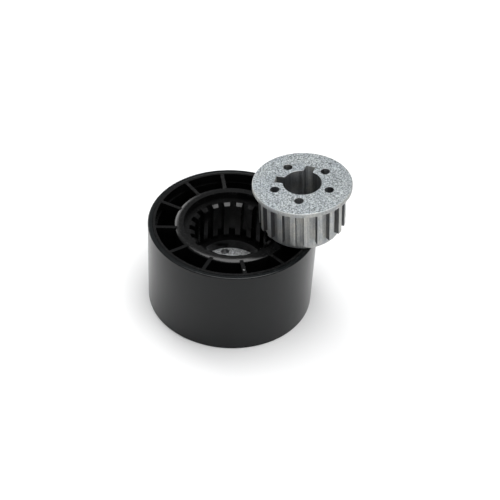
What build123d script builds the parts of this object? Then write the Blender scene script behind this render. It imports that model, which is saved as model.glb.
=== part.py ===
"""Drive adapter of a roller shutter motor: a ribbed plastic drum that plugs into the shutter tube,
the splined metal hub that carries the motor shaft, and the clamp plate under the drum's web.

The origin is the centre of the drum's base, +Z is the drum's axis, and the loose hub lies towards +X.
"""

import math
import os

from build123d import *

# Drum: a smooth sleeve pressed over a ribbed core, which is one moulding kept as six simple solids
DRUM_R = 62.5
DRUM_H = 69.5
SLEEVE_WALL = 3.5
SLEEVE_EDGE = 0.9
CORE_R = DRUM_R - SLEEVE_WALL
RIM_IN_R = CORE_R - 2.0
LEDGE_DEPTH = 7.6
LEDGE_IN_R = RIM_IN_R - 1.1

# Ribs between the rim and the socket ring, twelve on each side of the web
RIB_COUNT = 12
RIB_WALL = 2.7
RIB_PHASE = 9.7

# Socket ring: its top face is a step lower than the rim
RING_R = 43.0
RING_STEP = 1.5
RING_EDGE = 1.5
COUNTERBORE_R = 36.3
COUNTERBORE_DEPTH = 7.0

# Web that closes the pockets and carries both sockets
WEB_TOP_DEPTH = 39.5
WEB_WALL = 8.0
WEB_OPENING_R = 24.7
WEB_TOP_Z = DRUM_H - WEB_TOP_DEPTH
WEB_LOW_Z = WEB_TOP_Z - WEB_WALL

# Straight-sided spline, shared by the socket and the hub
SPLINE_COUNT = 20
SPLINE_PITCH = 360 / SPLINE_COUNT
TOOTH_WIDTH = 4.0
TOOTH_TIP_R = 31.6
TOOTH_ROOT_R = 27.8
SPLINE_PLAY = 0.4
GROOVE_PHASE = 0.3
LEAD_IN_R = 30.7
LEAD_IN_DEPTH = 1.6

# Loose hub, in its own frame: hub axis on Z, its lower end at 0, its odd screw hole on +X
HUB_H = 38.6
FLANGE_R = 36.0
FLANGE_WALL = 3.6
FLANGE_EDGE = 0.5
SPIGOT_H = 5.3
TOOTH_PHASE = 11.5
SHAFT_R = 14.0
KEYWAY_WIDTH = 7.0
KEYWAY_TIP_R = 19.8
KEYWAY_ANGLES = (-48, 48)
SCREW_CIRCLE_R = 21.0
SCREW_HOLE_R = 3.4
SCREW_ANGLES = (0, 82, 144, -144, -82)

# Where the hub lies: its foot rests on the rim and on the lower socket ring, so it leans inwards
HUB_REACH = 51.2
HUB_TURN = 118.4
HUB_AIR = 0.08
FOOT_R = TOOTH_ROOT_R - FLANGE_EDGE

# Clamp plate under the web
PLATE_R = COUNTERBORE_R - 0.1
PLATE_WALL = 5.0
PLATE_BORE_R = 15.0
PLATE_HOLE_R = 3.1
PLATE_TURN = 103.3
PLATE_EDGE = 0.6


def disc(radius, low, high):
    """Solid cylinder on the Z axis between two heights."""
    return Pos(0, 0, (low + high) / 2) * Cylinder(radius, high - low)


def tube(outer, inner, low, high):
    """Hollow cylinder on the Z axis between two heights."""
    return disc(outer, low, high) - disc(inner, low - 1, high + 1)


def bar(start, end, width, low, high, angle):
    """Radial block between two radii, turned to an angle."""
    block = Box(end - start, width, high - low)
    return Rot(0, 0, angle) * Pos((start + end) / 2, 0, (low + high) / 2) * block


def ring_of(angles, make):
    """One copy of a feature at each angle."""
    return [make(angle) for angle in angles]


def splined_bar(core_r, tip_r, width, low, high, phase):
    """Round bar with straight-sided teeth."""
    shaft = disc(core_r, low, high)
    angles = [phase + SPLINE_PITCH * number for number in range(SPLINE_COUNT)]
    teeth = ring_of(angles, lambda angle: bar(core_r - 3, tip_r + 2, width, low, high, angle))
    return (shaft + teeth) & disc(tip_r, low, high)


def outer_sleeve():
    """Smooth outside of the drum, with a rounded top edge."""
    blank = disc(DRUM_R, 0, DRUM_H)
    blank = fillet(blank.edges().group_by(Axis.Z)[-1], SLEEVE_EDGE)
    return blank - disc(CORE_R, -1, DRUM_H + 1)


def core_rim():
    """Core wall, thicker below a ledge near each end."""
    wall = tube(CORE_R, LEDGE_IN_R, LEDGE_DEPTH, DRUM_H - LEDGE_DEPTH)
    ends = tube(CORE_R, RIM_IN_R, 0, DRUM_H)
    return wall + ends


def core_web():
    """Flat web between the upper and the lower pockets, open in the middle for the shaft."""
    return tube(LEDGE_IN_R, WEB_OPENING_R, WEB_LOW_Z, WEB_TOP_Z)


def upper_socket():
    """Ring round the splined socket, with a counterbore for the hub's flange and a lead-in to the teeth."""
    ring = disc(RING_R, WEB_TOP_Z, DRUM_H - RING_STEP)
    ring = fillet(ring.edges().group_by(Axis.Z)[-1], RING_EDGE)
    floor_z = DRUM_H - COUNTERBORE_DEPTH
    counterbore = disc(COUNTERBORE_R, floor_z, DRUM_H + 1)
    lead_in = Cone(TOOTH_ROOT_R + SPLINE_PLAY, LEAD_IN_R, LEAD_IN_DEPTH)
    counterbore += Pos(0, 0, floor_z - LEAD_IN_DEPTH / 2) * lead_in
    spline = splined_bar(
        TOOTH_ROOT_R + SPLINE_PLAY,
        TOOTH_TIP_R + SPLINE_PLAY,
        TOOTH_WIDTH + 2 * SPLINE_PLAY,
        WEB_TOP_Z - 1,
        DRUM_H,
        GROOVE_PHASE,
    )
    return ring - counterbore - spline


def lower_socket():
    """Plain ring under the web, which holds the clamp plate."""
    ring = disc(RING_R, RING_STEP, WEB_LOW_Z)
    ring = fillet(ring.edges().group_by(Axis.Z)[0], RING_EDGE)
    return ring - disc(COUNTERBORE_R, 0, DRUM_H)


def ribs(web_z, rim_z, ring_z, ring):
    """Ribs from the web out to the core's end; each end face falls from the rim to the socket ring."""
    outer, inner = RIM_IN_R + 0.5, RING_R - 0.5
    with BuildSketch(Plane.XZ) as face:
        with BuildLine():
            Polyline((inner, web_z), (outer, web_z), (outer, rim_z), (inner, ring_z), close=True)
        make_face()
    rib = extrude(face.sketch, RIB_WALL / 2, both=True) - core_rim() - ring
    angles = [RIB_PHASE + 360 / RIB_COUNT * number for number in range(RIB_COUNT)]
    return Compound(ring_of(angles, lambda angle: Rot(0, 0, angle) * rib))


def upper_ribs():
    """Ribs between the rim and the upper socket."""
    solid_ring = disc(RING_R, WEB_TOP_Z, DRUM_H - RING_STEP)
    solid_ring = fillet(solid_ring.edges().group_by(Axis.Z)[-1], RING_EDGE)
    return ribs(WEB_TOP_Z, DRUM_H, DRUM_H - RING_STEP, solid_ring)


def lower_ribs():
    """Ribs between the rim and the lower socket."""
    return ribs(WEB_LOW_Z, 0, RING_STEP, lower_socket())


def screw_holes(radius, low, high):
    """The five screw holes as solids to cut away."""
    place = Pos(SCREW_CIRCLE_R, 0, 0)
    return ring_of(SCREW_ANGLES, lambda angle: Rot(0, 0, angle) * place * disc(radius, low, high))


def hub():
    """Splined hub in its own frame: spigot, toothed length and flange, bored and keyed."""
    flange = disc(FLANGE_R, HUB_H - FLANGE_WALL, HUB_H)
    flange = chamfer(flange.edges().filter_by(GeomType.CIRCLE), FLANGE_EDGE)
    teeth = splined_bar(TOOTH_ROOT_R, TOOTH_TIP_R, TOOTH_WIDTH, SPIGOT_H, HUB_H - FLANGE_WALL, TOOTH_PHASE)
    spigot = disc(TOOTH_ROOT_R, 0, HUB_H - FLANGE_WALL)
    spigot = chamfer(spigot.edges().group_by(Axis.Z)[0], FLANGE_EDGE)
    shaft_bore = disc(SHAFT_R, -1, HUB_H + 1)
    keyways = ring_of(KEYWAY_ANGLES, lambda angle: bar(0, KEYWAY_TIP_R, KEYWAY_WIDTH, -1, HUB_H + 1, angle))
    return flange + teeth + spigot - shaft_bore - keyways - screw_holes(SCREW_HOLE_R, -1, HUB_H + 1)


def touch_x(edge_r):
    """Where the edge of the lying hub's foot crosses a round edge of the drum."""
    return (edge_r**2 - FOOT_R**2 + HUB_REACH**2) / (2 * HUB_REACH)


def lying_hub_place():
    """Place of the hub's own frame when it lies on the rim and on the socket ring's inner edge."""
    rim_x, ring_x = touch_x(RIM_IN_R), touch_x(COUNTERBORE_R)
    slope = math.atan2(RING_STEP, rim_x - ring_x)
    height = DRUM_H + HUB_AIR + (HUB_REACH - rim_x) * math.tan(slope)
    return Pos(HUB_REACH, 0, height) * Rot(0, -math.degrees(slope), 0) * Rot(0, 0, HUB_TURN)


def clamp_plate():
    """Round plate that sits against the web's underside, with a hole for each hub screw."""
    plate = disc(PLATE_R, WEB_LOW_Z - PLATE_WALL, WEB_LOW_Z)
    plate = chamfer(plate.edges().filter_by(GeomType.CIRCLE), PLATE_EDGE)
    bore = disc(PLATE_BORE_R, 0, DRUM_H)
    holes = Rot(0, 0, PLATE_TURN) * Compound(screw_holes(PLATE_HOLE_R, 0, DRUM_H))
    return plate - bore - holes


NODES = {
    "outer_sleeve": outer_sleeve(),
    "core_rim": core_rim(),
    "core_web": core_web(),
    "upper_socket": upper_socket(),
    "lower_socket": lower_socket(),
    "upper_ribs": upper_ribs(),
    "lower_ribs": lower_ribs(),
    "splined_hub": lying_hub_place() * hub(),
    "clamp_plate": clamp_plate(),
}

os.makedirs("parts", exist_ok=True)
for name, shape in NODES.items():
    export_step(shape, f"parts/{name}.step")
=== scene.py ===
"""Looks for the shutter drive adapter: black ribbed drum, loose splined hub and clamp plate."""

import math

import bmesh
import bpy
from mathutils import Matrix, Vector


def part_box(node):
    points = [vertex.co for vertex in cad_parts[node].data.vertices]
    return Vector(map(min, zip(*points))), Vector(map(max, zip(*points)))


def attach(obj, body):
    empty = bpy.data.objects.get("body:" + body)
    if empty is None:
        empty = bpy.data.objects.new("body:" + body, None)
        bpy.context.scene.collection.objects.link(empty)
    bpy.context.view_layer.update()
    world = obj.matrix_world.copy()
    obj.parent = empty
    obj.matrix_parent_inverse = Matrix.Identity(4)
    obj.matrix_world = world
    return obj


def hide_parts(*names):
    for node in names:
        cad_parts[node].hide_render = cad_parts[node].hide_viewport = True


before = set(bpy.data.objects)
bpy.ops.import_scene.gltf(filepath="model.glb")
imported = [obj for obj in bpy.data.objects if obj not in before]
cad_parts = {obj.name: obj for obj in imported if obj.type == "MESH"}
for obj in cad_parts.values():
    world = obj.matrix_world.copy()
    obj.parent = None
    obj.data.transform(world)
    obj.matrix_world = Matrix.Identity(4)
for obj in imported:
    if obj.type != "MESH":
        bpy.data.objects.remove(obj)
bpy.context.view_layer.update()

MM = 0.001

# Sizes that the looks share with the CAD parts
DRUM_R = 62.5 * MM
DRUM_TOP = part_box("outer_sleeve")[1][2]
CORE_R = 59.0 * MM
RIM_IN_R = 57.0 * MM
LEDGE_IN_R = 55.9 * MM
LEDGE_DEPTH = 7.6 * MM
RIB_WALL = 2.7 * MM
RING_R = 43.0 * MM
RING_STEP = 1.5 * MM
RING_EDGE = 1.5 * MM
COUNTERBORE_R = 36.3 * MM
COUNTERBORE_Z = 62.5 * MM
LEAD_IN_R = 30.7 * MM
LEAD_IN_DEPTH = 1.6 * MM
WEB_TOP = 30.0 * MM
WEB_LOW = 22.0 * MM
WEB_OPENING_R = 24.7 * MM
SOCKET_TOOTH_R = 28.2 * MM
SOCKET_GROOVE_R = 32.0 * MM
SOCKET_GROOVE_WIDTH = 4.8 * MM
SOCKET_PHASE = math.radians(0.3)
SPLINE_COUNT = 20
SLEEVE_EDGE = 0.9 * MM
RIB_COUNT = 12
RIB_PHASE = math.radians(9.7)

# How the loose hub lies: the middle of its foot, its lean towards the drum's axis and its turn
HUB_FOOT = Vector((51.2, 0, 69.6714)) * MM
HUB_LEAN = math.radians(4.547)
HUB_TURN = math.radians(118.4)
SCREW_CIRCLE_R = 21.0 * MM
SCREW_HOLE_R = 3.4 * MM
SCREW_ANGLES = [math.radians(angle) for angle in (0, 82, 144, -144, -82)]

# Places of the hub's materials in its list; the tooth flank and hole ones are darkened as painted
# shade, the rounded edges' one lightened as painted highlight
FACE, SIDE, SHADED_FLANK, SHADED_HOLE, EDGE_HIGHLIGHT = range(5)

# Sizes that only the looks have; the shoulder is split, in degrees, where the pockets' cutters end
SLEEVE_CHAMFER = 0.4 * MM
SHOULDER_WIDTH = 4.5 * MM
SHOULDER_SPLIT = 56
CORE_ROUNDING = 0.32 * MM
HUB_ROUNDING = 0.22 * MM
PLATE_ROUNDING = 0.2 * MM
SHARP_EDGE = math.radians(28)
GATE_RIB = 9
GATE_MARK_R = 53.0 * MM
GATE_MARK_SIZE = 0.9 * MM
GATE_MARK_FLATNESS = 0.55
GATE_MARK_DEPTH = 0.45 * MM

# How finely round shapes are stepped
ROUND_STEPS = 240
POCKET_STEPS = 16
SLEEVE_EDGE_STEPS = 8
SHOULDER_OUTER_STEPS = 6
SHOULDER_INNER_STEPS = 4
SPLINE_ARC_STEPS = 4

# Slack and limits for sorting the faces of a mesh; the last three are shares of a unit normal
WELD_GAP = 0.002 * MM
COPLANAR = math.radians(0.6)
WALL_SLACK = 0.2 * MM
LEVEL = 0.99
UPRIGHT = 0.1
SIDEWAYS = 0.5

# Studio: the camera's place is in drum radii from the middle of the drum's top
FLOOR_SIZE = 8
FLOOR_GREY = 0.87
CAMERA_AZIMUTH = math.radians(-1.7)
CAMERA_ELEVATION = math.radians(41.215)
CAMERA_ROLL = math.radians(3.426)
CAMERA_PLACE = Vector((0.2203, -10.499, 8.764)) * DRUM_R
CAMERA_LENS = 83.7


# ---------------------------------------------------------------- geometry

def new_piece(name, mesh, materials):
    """Object from a mesh, with its materials in order."""
    piece = bpy.data.objects.new(name, mesh)
    bpy.context.scene.collection.objects.link(piece)
    for material in materials:
        mesh.materials.append(material)
    return piece


def mesh_from(bm, name):
    """Mesh with outward normals from a bmesh, which is freed."""
    bmesh.ops.recalc_face_normals(bm, faces=bm.faces)
    mesh = bpy.data.meshes.new(name)
    bm.to_mesh(mesh)
    bm.free()
    return mesh


def unchanged(vector):
    """The vector itself, for a mesh whose axis is already on Z."""
    return vector


def is_level(normal):
    """Whether a face lies square to the axis."""
    return abs(normal.z) > LEVEL


def is_flank(point, normal):
    """Whether a face is a wall that looks round the axis, not out from it."""
    return abs(normal.z) < UPRIGHT and abs(normal.xy.dot(point.xy.normalized())) < SIDEWAYS


def tidy_faces(mesh, place=unchanged, turn=unchanged, pick=lambda face: 0):
    """Joins coplanar faces and shades only the round walls smooth.

    place and turn bring a point and a normal into the shape's own frame.
    pick gives the place of a face's material in the piece's list.
    """
    bm = bmesh.new()
    bm.from_mesh(mesh)
    bmesh.ops.remove_doubles(bm, verts=bm.verts, dist=WELD_GAP)
    bmesh.ops.dissolve_limit(bm, angle_limit=COPLANAR, verts=bm.verts, edges=bm.edges)
    for face in bm.faces:
        normal = turn(face.normal)
        point = place(face.calc_center_median())
        face.smooth = not (is_level(normal) or is_flank(point, normal))
        face.material_index = pick(face)
    bm.to_mesh(mesh)
    bm.free()


def cut_away(mesh, cutters, name):
    """The mesh less the cutters' volume."""
    solid = bpy.data.objects.new(name, mesh)
    tool = bpy.data.objects.new(name + "_cutter", cutters)
    for thing in (solid, tool):
        bpy.context.scene.collection.objects.link(thing)
    cut = solid.modifiers.new("cut", "BOOLEAN")
    cut.operation = "DIFFERENCE"
    cut.solver = "EXACT"
    cut.object = tool
    graph = bpy.context.evaluated_depsgraph_get()
    result = bpy.data.meshes.new_from_object(solid.evaluated_get(graph))
    for thing in (solid, tool):
        bpy.data.objects.remove(thing)
    return result


def cad_copy(node):
    """Copy of a CAD node's mesh, without its materials."""
    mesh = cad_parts[node].data.copy()
    mesh.materials.clear()
    return mesh


def round_edges(piece, width, highlight_slot, segments):
    """Rounds the sharp edges; the rounded edges take the material at the given place in the list, a
    lighter one that paints a highlight along them.
    """
    bevel = piece.modifiers.new("rounded_edges", "BEVEL")
    bevel.width = width
    bevel.segments = segments
    bevel.limit_method = "ANGLE"
    bevel.angle_limit = SHARP_EDGE
    bevel.use_clamp_overlap = True
    bevel.harden_normals = True
    bevel.material = highlight_slot


def lathe(name, profile):
    """Closed profile of (radius, height) points turned round the Z axis."""
    bm = bmesh.new()
    rings = []
    for step in range(ROUND_STEPS):
        turn = Matrix.Rotation(2 * math.pi * step / ROUND_STEPS, 3, "Z")
        ring = [turn @ Vector((radius, 0, height)) for radius, height in profile]
        rings.append([bm.verts.new(point) for point in ring])
    for step in range(ROUND_STEPS):
        this, other = rings[step], rings[(step + 1) % ROUND_STEPS]
        for low in range(len(profile)):
            high = (low + 1) % len(profile)
            bm.faces.new((this[low], other[low], other[high], this[high]))
    return mesh_from(bm, name)


def arc(center_r, center_z, radius, start, end, steps):
    """Points of a round corner in a lathe profile, angles in degrees."""
    angles = [math.radians(start + (end - start) * step / steps) for step in range(steps + 1)]
    return [(center_r + radius * math.cos(a), center_z + radius * math.sin(a)) for a in angles]


# ---------------------------------------------------------------- material helpers

class Recipe:
    """A material's node tree, built one named step at a time."""

    def __init__(self, name):
        self.material = bpy.data.materials.new(name)
        self.material.use_nodes = True
        self.tree = self.material.node_tree
        self.shader = self.tree.nodes["Principled BSDF"]
        self.place = self.tree.nodes.new("ShaderNodeTexCoord").outputs["Object"]

    def node(self, kind, **settings):
        """New node with some of its properties set."""
        made = self.tree.nodes.new(kind)
        for key, value in settings.items():
            setattr(made, key, value)
        return made

    def link(self, output, target):
        self.tree.links.new(output, target)

    def stretched(self, size, turn=(0, 0, 0)):
        """Coordinates for a pattern of the given size along each axis of a turned frame."""
        mapping = self.node("ShaderNodeMapping", vector_type="TEXTURE")
        mapping.inputs["Rotation"].default_value = turn
        mapping.inputs["Scale"].default_value = size
        self.link(self.place, mapping.inputs["Vector"])
        return mapping.outputs["Vector"]

    def noise(self, scale, detail=3, rough=0.55, where=None):
        """Soft random pattern, scale cells to a metre; where gives stretched coordinates."""
        made = self.node("ShaderNodeTexNoise")
        made.inputs["Scale"].default_value = scale
        made.inputs["Detail"].default_value = detail
        made.inputs["Roughness"].default_value = rough
        self.link(where or self.place, made.inputs["Vector"])
        return made.outputs["Fac"]

    def flakes(self, scale):
        """Random grey for each small cell."""
        made = self.node("ShaderNodeTexVoronoi", feature="F1")
        made.inputs["Scale"].default_value = scale
        self.link(self.place, made.inputs["Vector"])
        split = self.node("ShaderNodeSeparateColor")
        self.link(made.outputs["Color"], split.inputs["Color"])
        return split.outputs["Red"]

    def spread(self, value, low, high, to_low, to_high):
        """The value's range low to high, laid over another range."""
        made = self.node("ShaderNodeMapRange", clamp=True)
        self.link(value, made.inputs["Value"])
        made.inputs["From Min"].default_value = low
        made.inputs["From Max"].default_value = high
        made.inputs["To Min"].default_value = to_low
        made.inputs["To Max"].default_value = to_high
        return made.outputs["Result"]

    def tint(self, value, dark, light, low=0.35, high=0.65):
        """Colour between dark and light as the value goes from low to high."""
        made = self.node("ShaderNodeValToRGB")
        made.color_ramp.elements[0].position = low
        made.color_ramp.elements[1].position = high
        made.color_ramp.elements[0].color = (*dark, 1)
        made.color_ramp.elements[1].color = (*light, 1)
        self.link(value, made.inputs["Fac"])
        return made.outputs["Color"]

    def mix(self, blend, amount, first, second):
        """Blends two colours; amount is a number or another output.

        On a Mix node, sockets 6, 7 and output 2 are the colours.
        """
        made = self.node("ShaderNodeMix", data_type="RGBA", blend_type=blend)
        if isinstance(amount, (int, float)):
            made.inputs[0].default_value = amount
        else:
            self.link(amount, made.inputs[0])
        self.link(first, made.inputs[6])
        self.link(second, made.inputs[7])
        return made.outputs[2]

    def bump(self, height, depth, over=None):
        """Surface relief of the given depth in metres, over an earlier relief."""
        made = self.node("ShaderNodeBump")
        made.inputs["Strength"].default_value = 1.0
        made.inputs["Distance"].default_value = depth
        self.link(height, made.inputs["Height"])
        if over:
            self.link(over, made.inputs["Normal"])
        return made.outputs["Normal"]

    def finish(self, color, roughness, normal, metallic=0.0, ior=1.5):
        """The finished material, its shader fed with the recipe's results."""
        self.link(color, self.shader.inputs["Base Color"])
        self.link(roughness, self.shader.inputs["Roughness"])
        self.link(normal, self.shader.inputs["Normal"])
        self.shader.inputs["Metallic"].default_value = metallic
        self.shader.inputs["IOR"].default_value = ior
        return self.material


# ---------------------------------------------------------------- materials

def moulded_plastic(name, dark, light, smooth, rough, grain, ior):
    """Black moulded plastic: faint mottle, flow marks along the mould's draw and a fine grain."""
    flow_size = (2.4 * MM, 2.4 * MM, 70 * MM)
    recipe = Recipe(name)
    mottle = recipe.noise(90, detail=4)
    flow = recipe.noise(1, detail=3, where=recipe.stretched(flow_size))
    pits = recipe.noise(2600, detail=2)
    flow_share = recipe.spread(flow, 0.3, 0.7, 0, 0.5)
    mottled = recipe.tint(mottle, dark, light)
    flowed = recipe.tint(flow, dark, light)
    color = recipe.mix("MIX", flow_share, mottled, flowed)
    roughness = recipe.spread(recipe.noise(700, detail=4), 0.3, 0.7, smooth, rough)
    normal = recipe.bump(pits, grain)
    normal = recipe.bump(flow, grain * 0.6, over=normal)
    return recipe.finish(color, roughness, normal, ior=ior)


def cast_face(name, dark, light, smooth, rough):
    """Shot-blasted aluminium face: fine bright and dark grain with a soft uneven cast."""
    recipe = Recipe(name)
    grain = recipe.noise(850, detail=4, rough=0.7)
    speck = recipe.flakes(1000)
    patch = recipe.noise(70, detail=3)
    color = recipe.tint(grain, dark, light, 0.38, 0.62)
    specks = recipe.tint(speck, (0.55, 0.56, 0.57), (1, 1, 1), 0.0, 0.9)
    color = recipe.mix("MULTIPLY", 0.55, color, specks)
    cast = recipe.tint(patch, (0.88, 0.9, 0.92), (1, 0.995, 0.98), 0.3, 0.7)
    color = recipe.mix("MULTIPLY", 1.0, color, cast)
    roughness = recipe.spread(grain, 0.35, 0.65, rough, smooth)
    normal = recipe.bump(grain, 0.14 * MM)
    normal = recipe.bump(speck, 0.07 * MM, over=normal)
    return recipe.finish(color, roughness, normal, metallic=1.0)


def drawn_side(name, dark, light, relief, smooth, rough):
    """Aluminium wall shaped by the die: streaks along the hub's axis over a fine grain."""
    recipe = Recipe(name)
    streak_size = (1.1 * MM, 1.1 * MM, 25 * MM)
    along = recipe.stretched(streak_size, turn=(0, -HUB_LEAN, 0))
    streak = recipe.noise(1, detail=4, rough=0.6, where=along)
    grain = recipe.noise(1300, detail=4, rough=0.65)
    stain = recipe.noise(110, detail=4)
    streaked = recipe.tint(streak, dark, light, 0.3, 0.7)
    grained = recipe.tint(grain, dark, light)
    color = recipe.mix("MIX", 0.4, streaked, grained)
    warm = recipe.tint(stain, (0.82, 0.84, 0.87), (1, 0.985, 0.95), 0.35, 0.65)
    color = recipe.mix("MULTIPLY", 1.0, color, warm)
    roughness = recipe.spread(streak, 0.3, 0.7, smooth, rough)
    normal = recipe.bump(grain, relief)
    normal = recipe.bump(streak, relief * 0.8, over=normal)
    return recipe.finish(color, roughness, normal, metallic=1.0)


SLEEVE_BLACK = moulded_plastic(
    "satin_black_sleeve",
    dark=(0.0025, 0.0033, 0.0037), light=(0.004, 0.0052, 0.0058),
    smooth=0.22, rough=0.27, grain=0.0008 * MM, ior=1.34,
)
CORE_BLACK = moulded_plastic(
    "satin_black_core",
    dark=(0.0012, 0.0012, 0.0013), light=(0.0034, 0.0034, 0.0035),
    smooth=0.19, rough=0.28, grain=0.0012 * MM, ior=1.38,
)
# Lighter black for the core's rounded edges and the gate mark: a painted highlight standing in for
# the glints along the edges
CORE_EDGE_HIGHLIGHT = moulded_plastic(
    "black_edge_painted_highlight",
    dark=(0.03, 0.0305, 0.031), light=(0.11, 0.111, 0.112),
    smooth=0.2, rough=0.3, grain=0.002 * MM, ior=1.5,
)
HUB_FACE = cast_face(
    "cast_aluminium_face",
    dark=(0.12, 0.131, 0.137), light=(0.66, 0.7, 0.715),
    smooth=0.42, rough=0.62,
)
HUB_SIDE = drawn_side(
    "cast_aluminium_side",
    dark=(0.34, 0.35, 0.352), light=(0.8, 0.805, 0.79),
    relief=0.05 * MM, smooth=0.7, rough=0.85,
)
# Darker aluminium for the tooth flanks: painted shade for the groove walls
HUB_FLANK_SHADE = drawn_side(
    "shaded_tooth_flank",
    dark=(0.1, 0.102, 0.106), light=(0.26, 0.263, 0.266),
    relief=0.05 * MM, smooth=0.6, rough=0.8,
)
# Darker aluminium for the bore, the screw holes and the plate's walls: painted shade for these
# recesses
HUB_HOLE_SHADE = drawn_side(
    "aluminium_bore_painted_shade",
    dark=(0.17, 0.175, 0.18), light=(0.42, 0.43, 0.44),
    relief=0.03 * MM, smooth=0.38, rough=0.6,
)
# Smoother aluminium for the rounded edges of hub and plate: polished, and lighter than the face as
# a painted highlight
HUB_EDGE_HIGHLIGHT = drawn_side(
    "polished_edge_painted_highlight",
    dark=(0.4, 0.41, 0.42), light=(0.7, 0.71, 0.71),
    relief=0.01 * MM, smooth=0.35, rough=0.48,
)
PLATE_FACE = cast_face(
    "cast_plate_face",
    dark=(0.2, 0.205, 0.21), light=(0.95, 0.96, 0.97),
    smooth=0.6, rough=0.8,
)


# ---------------------------------------------------------------- pieces

def sleeve_profile():
    """Outline of the sleeve's wall: rounded at the top outside, chamfered at its other edges."""
    points = [(CORE_R, SLEEVE_CHAMFER), (CORE_R + SLEEVE_CHAMFER, 0)]
    points += [(DRUM_R - SLEEVE_CHAMFER, 0), (DRUM_R, SLEEVE_CHAMFER)]
    edge_r, edge_z = DRUM_R - SLEEVE_EDGE, DRUM_TOP - SLEEVE_EDGE
    points += arc(edge_r, edge_z, SLEEVE_EDGE, 0, 90, SLEEVE_EDGE_STEPS)
    points += [(CORE_R + SLEEVE_CHAMFER, DRUM_TOP), (CORE_R, DRUM_TOP - SLEEVE_CHAMFER)]
    return points


def make_sleeve():
    mesh = lathe("outer_sleeve_shell", sleeve_profile())
    tidy_faces(mesh)
    piece = new_piece("outer_sleeve_shell", mesh, [SLEEVE_BLACK])
    piece.modifiers.new("flat_faces_stay_flat", "WEIGHTED_NORMAL")
    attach(piece, "drum")
    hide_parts("outer_sleeve")


def ring_shoulder(start, end, steps):
    """Points of the socket ring's soft outer shoulder: an ellipse between two angles in degrees."""
    points = []
    for across, up in arc(0, 0, 1, start, end, steps):
        radius = RING_R - SHOULDER_WIDTH * (1 - across)
        points.append((radius, DRUM_TOP - RING_STEP - RING_EDGE * (1 - up)))
    return points


def core_profile():
    """Outline of the core before its pockets and its spline are cut."""
    shoulder = ring_shoulder(SHOULDER_SPLIT, 90, SHOULDER_INNER_STEPS)
    upper_end = [(CORE_R, DRUM_TOP), (RIM_IN_R, DRUM_TOP)] + shoulder
    return [(CORE_R, 0)] + upper_end + [
        (COUNTERBORE_R, DRUM_TOP - RING_STEP),
        (COUNTERBORE_R, COUNTERBORE_Z),
        (LEAD_IN_R, COUNTERBORE_Z),
        (SOCKET_TOOTH_R, COUNTERBORE_Z - LEAD_IN_DEPTH),
        (WEB_OPENING_R, COUNTERBORE_Z - LEAD_IN_DEPTH),
        (WEB_OPENING_R, WEB_LOW),
        (COUNTERBORE_R, WEB_LOW),
        (COUNTERBORE_R, RING_STEP),
        (RING_R, RING_STEP),
        (RIM_IN_R, 0),
    ]


def pocket_profile():
    """Upper pocket between the ring's rounded shoulder and the ledge in the rim."""
    shoulder = ring_shoulder(0, SHOULDER_SPLIT, SHOULDER_OUTER_STEPS)
    mouth = DRUM_TOP + RING_EDGE
    ledge = DRUM_TOP - LEDGE_DEPTH
    outside = [(shoulder[-1][0], mouth), (RIM_IN_R, mouth), (RIM_IN_R, ledge), (LEDGE_IN_R, ledge)]
    return [(RING_R, WEB_TOP)] + shoulder + outside + [(LEDGE_IN_R, WEB_TOP)]


def add_pocket(bm, rib_angle, profile):
    """One pocket's volume, from a rib's flat side to the next rib's."""
    rows = []
    for radius, height in profile:
        inset = math.asin(RIB_WALL / 2 / radius)
        start, span = rib_angle + inset, 2 * math.pi / RIB_COUNT - 2 * inset
        angles = [start + span * step / POCKET_STEPS for step in range(POCKET_STEPS + 1)]
        row = [(radius * math.cos(a), radius * math.sin(a), height) for a in angles]
        rows.append([bm.verts.new(point) for point in row])
    for number, row in enumerate(rows):
        other = rows[(number + 1) % len(rows)]
        for step in range(POCKET_STEPS):
            bm.faces.new((row[step], row[step + 1], other[step + 1], other[step]))
    bm.faces.new([row[0] for row in rows])
    bm.faces.new([row[-1] for row in rows])


def pocket_cutters():
    """The twelve pockets above the web and the twelve below it."""
    upper = pocket_profile()
    lower = []
    for radius, height in upper:
        lower.append((radius, WEB_LOW if height == WEB_TOP else DRUM_TOP - height))
    bm = bmesh.new()
    for number in range(RIB_COUNT):
        angle = RIB_PHASE + 2 * math.pi * number / RIB_COUNT
        add_pocket(bm, angle, upper)
        add_pocket(bm, angle, lower)
    return mesh_from(bm, "pockets")


def flat_arc(radius, start, end):
    """Points along one of the spline's short arcs, angles in radians."""
    steps = range(SPLINE_ARC_STEPS + 1)
    angles = [start + (end - start) * step / SPLINE_ARC_STEPS for step in steps]
    return [(radius * math.cos(angle), radius * math.sin(angle)) for angle in angles]


def spline_cutter():
    """The splined socket's volume: a round bar with straight-sided teeth."""
    outline = []
    tip = math.asin(SOCKET_GROOVE_WIDTH / 2 / SOCKET_GROOVE_R)
    root = math.asin(SOCKET_GROOVE_WIDTH / 2 / SOCKET_TOOTH_R)
    pitch = 2 * math.pi / SPLINE_COUNT
    for number in range(SPLINE_COUNT):
        middle = SOCKET_PHASE + pitch * number
        outline += flat_arc(SOCKET_GROOVE_R, middle - tip, middle + tip)
        outline += flat_arc(SOCKET_TOOTH_R, middle + root, middle + pitch - root)
    bm = bmesh.new()
    low = [bm.verts.new((x, y, WEB_TOP)) for x, y in outline]
    high = [bm.verts.new((x, y, DRUM_TOP)) for x, y in outline]
    bm.faces.new(low)
    bm.faces.new(high)
    for here in range(len(outline)):
        there = (here + 1) % len(outline)
        bm.faces.new((low[here], low[there], high[there], high[here]))
    return mesh_from(bm, "spline")


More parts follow.
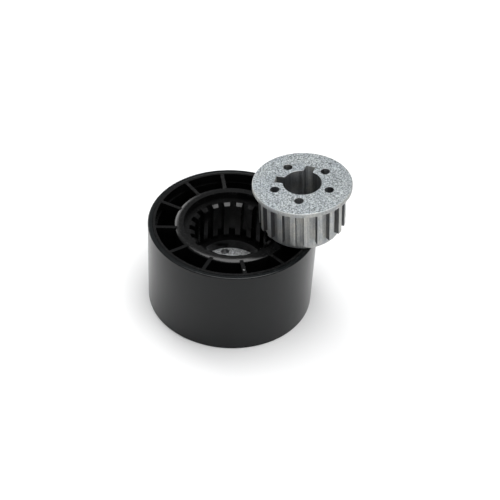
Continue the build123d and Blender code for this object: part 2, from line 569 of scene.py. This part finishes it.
def make_core():
    mesh = lathe("core_blank", core_profile())
    mesh = cut_away(mesh, pocket_cutters(), "pocketed_core")
    mesh = cut_away(mesh, spline_cutter(), "ribbed_core")
    tidy_faces(mesh)
    mesh.materials.clear()
    # The rounded edges take the lighter edge material, a painted highlight
    piece = new_piece("ribbed_core", mesh, [CORE_BLACK, CORE_EDGE_HIGHLIGHT])
    round_edges(piece, CORE_ROUNDING, highlight_slot=1, segments=3)
    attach(piece, "drum")
    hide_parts("core_rim", "core_web", "upper_socket", "lower_socket", "upper_ribs", "lower_ribs")


def make_gate_mark():
    """Stub left by the mould's gate on top of the front rib, in the lighter edge material that
    paints a highlight on it.
    """
    bpy.ops.mesh.primitive_uv_sphere_add(segments=24, ring_count=12, radius=1)
    piece = bpy.context.object
    piece.name = "gate_mark"
    angle = RIB_PHASE + 2 * math.pi * GATE_RIB / RIB_COUNT
    height = DRUM_TOP - GATE_MARK_DEPTH
    place = Vector((GATE_MARK_R * math.cos(angle), GATE_MARK_R * math.sin(angle), height))
    size = GATE_MARK_SIZE
    shape = Matrix.Diagonal((size, size, size * GATE_MARK_FLATNESS, 1))
    piece.data.transform(Matrix.Translation(place) @ shape)
    piece.data.shade_smooth()
    piece.data.materials.append(CORE_EDGE_HIGHLIGHT)
    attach(piece, "drum")


def in_hub_turn(direction):
    """A direction in the hub's own frame: its axis on Z, its odd screw hole on +X."""
    return Matrix.Rotation(-HUB_TURN, 3, "Z") @ Matrix.Rotation(HUB_LEAN, 3, "Y") @ direction


def in_hub_frame(point):
    """A point in the hub's own frame, its foot at 0."""
    return in_hub_turn(point - HUB_FOOT)


def hub_region(face):
    """Place of a hub face's material: flat face, round side, tooth flank darkened as painted shade,
    or hole wall darkened as painted shade.
    """
    point = in_hub_frame(face.calc_center_median())
    normal = in_hub_turn(face.normal)
    radius = point.xy.length
    if is_level(normal):
        return FACE
    if radius < SCREW_CIRCLE_R - SCREW_HOLE_R:
        return SHADED_HOLE
    for angle in SCREW_ANGLES:
        hole = Vector((math.cos(angle), math.sin(angle))) * SCREW_CIRCLE_R
        if (point.xy - hole).length < SCREW_HOLE_R + WALL_SLACK:
            return SHADED_HOLE
    if is_flank(point, normal):
        return SHADED_FLANK
    return SIDE


def make_hub():
    mesh = cad_copy("splined_hub")
    tidy_faces(mesh, place=in_hub_frame, turn=in_hub_turn, pick=hub_region)
    # Flanks and hole walls take darkened materials as painted shade, rounded edges a lightened one
    # as painted highlight
    materials = [HUB_FACE, HUB_SIDE, HUB_FLANK_SHADE, HUB_HOLE_SHADE, HUB_EDGE_HIGHLIGHT]
    piece = new_piece("splined_hub_casting", mesh, materials)
    round_edges(piece, HUB_ROUNDING, highlight_slot=EDGE_HIGHLIGHT, segments=2)
    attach(piece, "hub")
    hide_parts("splined_hub")


def make_plate():
    mesh = cad_copy("clamp_plate")
    # The plate's walls take the darkened bore material as painted shade, its rounded edges the
    # lightened one as painted highlight
    tidy_faces(mesh, pick=lambda face: 0 if abs(face.normal.z) > 0.5 else 1)
    piece = new_piece("clamp_plate_casting", mesh, [PLATE_FACE, HUB_HOLE_SHADE, HUB_EDGE_HIGHLIGHT])
    round_edges(piece, PLATE_ROUNDING, highlight_slot=2, segments=2)
    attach(piece, "plate")
    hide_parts("clamp_plate")


# ---------------------------------------------------------------- studio

def make_floor():
    bpy.ops.mesh.primitive_plane_add(size=FLOOR_SIZE)
    floor = bpy.context.object
    floor.name = "floor"
    material = bpy.data.materials.new("pale_floor")
    material.use_nodes = True
    shader = material.node_tree.nodes["Principled BSDF"]
    shader.inputs["Base Color"].default_value = (FLOOR_GREY, FLOOR_GREY, FLOOR_GREY, 1)
    shader.inputs["Roughness"].default_value = 0.9
    shader.inputs["Specular IOR Level"].default_value = 0.0
    floor.data.materials.append(material)


def make_softbox(name, place, aim, size, power):
    """White rectangular lamp that faces its aim."""
    light = bpy.data.lights.new(name, "AREA")
    light.shape = "RECTANGLE"
    light.size, light.size_y = size
    light.energy = power
    lamp = bpy.data.objects.new(name, light)
    bpy.context.scene.collection.objects.link(lamp)
    lamp.location = place
    lamp.rotation_euler = (Vector(aim) - Vector(place)).to_track_quat("-Z", "Y").to_euler()


def make_world(strength):
    world = bpy.data.worlds.new("studio")
    bpy.context.scene.world = world
    world.use_nodes = True
    background = world.node_tree.nodes["Background"]
    background.inputs["Color"].default_value = (0.96, 0.98, 1, 1)
    background.inputs["Strength"].default_value = strength


def make_camera():
    """Camera above and in front of the drum, slightly rolled."""
    camera_data = bpy.data.cameras.new("camera")
    camera_data.sensor_width = 36
    camera_data.lens = CAMERA_LENS
    camera = bpy.data.objects.new("camera", camera_data)
    bpy.context.scene.collection.objects.link(camera)
    turn = Matrix.Rotation(CAMERA_AZIMUTH, 4, "Z")
    camera.matrix_world = (
        Matrix.Translation(turn @ CAMERA_PLACE + Vector((0, 0, DRUM_TOP)))
        @ turn
        @ Matrix.Rotation(math.pi / 2 - CAMERA_ELEVATION, 4, "X")
        @ Matrix.Rotation(CAMERA_ROLL, 4, "Z")
    )
    bpy.context.scene.camera = camera


make_sleeve()
make_core()
make_gate_mark()
make_hub()
make_plate()
make_floor()
make_world(strength=0.17)
make_softbox("overhead", place=(0.15, 0.05, 1.7), aim=(0, 0, 0), size=(1.9, 1.3), power=42)
make_softbox("left_back", place=(-1.0, 1.7, 0.95), aim=(0, 0, 0.07), size=(1.2, 0.8), power=13)
make_softbox("front", place=(0.1, -1.7, 0.5), aim=(0, 0, 0.08), size=(1.6, 0.5), power=4)
make_camera()
bpy.context.scene.view_settings.view_transform = "Standard"
